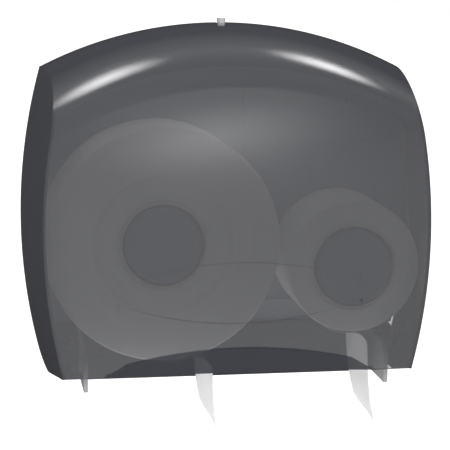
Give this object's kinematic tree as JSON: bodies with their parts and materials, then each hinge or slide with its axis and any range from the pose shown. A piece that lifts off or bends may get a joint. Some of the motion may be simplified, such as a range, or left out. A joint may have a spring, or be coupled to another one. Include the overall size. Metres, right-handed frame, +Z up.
{
  "type": "jumbo toilet roll dispenser",
  "caption": "Wall dispenser for a jumbo toilet roll and a stub roll side by side, with a see-through arched cover hinged at the bottom.",
  "frame": {"origin": "centre of the four wall screw holes, on the back plate's wall face", "axes": "+Z up, +X to the right seen from the front, -Y out of the wall towards the user, the wall is the plane y = 0"},
  "size_m": [0.4062, 0.1459, 0.4008],
  "materials": {
    "smoke_plastic": "polished, smoke tinted and see-through",
    "plate": "fine grain",
    "dark_plastic": "fine grain",
    "hub_plastic": "satin",
    "tear_plastic": "satin",
    "nylon": "smooth",
    "rubber": "matt",
    "steel": "zinc plated",
    "paper": "soft tissue",
    "cardboard": "raw board"
  },
  "bodies": {
    "chassis": {"back_plate": "plate", "paper_apron": "dark_plastic", "apron_screws": "steel", "hinge_block_left": "dark_plastic", "hinge_block_right": "dark_plastic", "hinge_block_screws": "steel", "hinge_pins": "steel", "tear_plate_left": "tear_plastic", "tear_plate_right": "tear_plastic", "tear_plate_rivets": "steel", "cover_pads": "rubber", "jumbo_post": "dark_plastic", "stub_post": "dark_plastic", "post_screws": "steel", "jumbo_friction_ring": "rubber", "stub_friction_ring": "rubber", "jumbo_retaining_washer": "steel", "stub_retaining_washer": "steel", "retaining_screws": "steel", "lock_housing": "dark_plastic", "lock_housing_screws": "steel", "jumbo_tail": "paper", "stub_tail": "paper"},
    "cover": {"cover": "smoke_plastic", "cover_catch": "steel", "hinge_bushes": "nylon"},
    "lock": {"lock_spindle": "steel", "lock_tongue": "steel", "lock_nut": "steel"},
    "jumbo_reel": {"jumbo_hub": "hub_plastic", "jumbo_hub_cap": "hub_plastic", "jumbo_core": "cardboard", "jumbo_roll": "paper"},
    "stub_reel": {"stub_hub": "hub_plastic", "stub_hub_cap": "hub_plastic", "stub_core": "cardboard", "stub_roll": "paper"}
  },
  "joints": [
    {"name": "cover_hinge", "type": "hinge", "parent": "chassis", "child": "cover", "pos_m": [0, -0.024, -0.14], "axis": [1, 0, 0], "range_deg": [0, 95]},
    {"name": "lock_turn", "type": "hinge", "parent": "chassis", "child": "lock", "pos_m": [0, -0.0085, 0.1645], "axis": [0, 0, -1], "range_deg": [0, 90]},
    {"name": "jumbo_spin", "type": "hinge", "parent": "chassis", "child": "jumbo_reel", "pos_m": [-0.06926, -0.058, -0.02082], "axis": [0, 1, 0], "continuous": true},
    {"name": "stub_spin", "type": "hinge", "parent": "chassis", "child": "stub_reel", "pos_m": [0.11952, -0.058, -0.046], "axis": [0, 1, 0], "continuous": true}
  ]
}
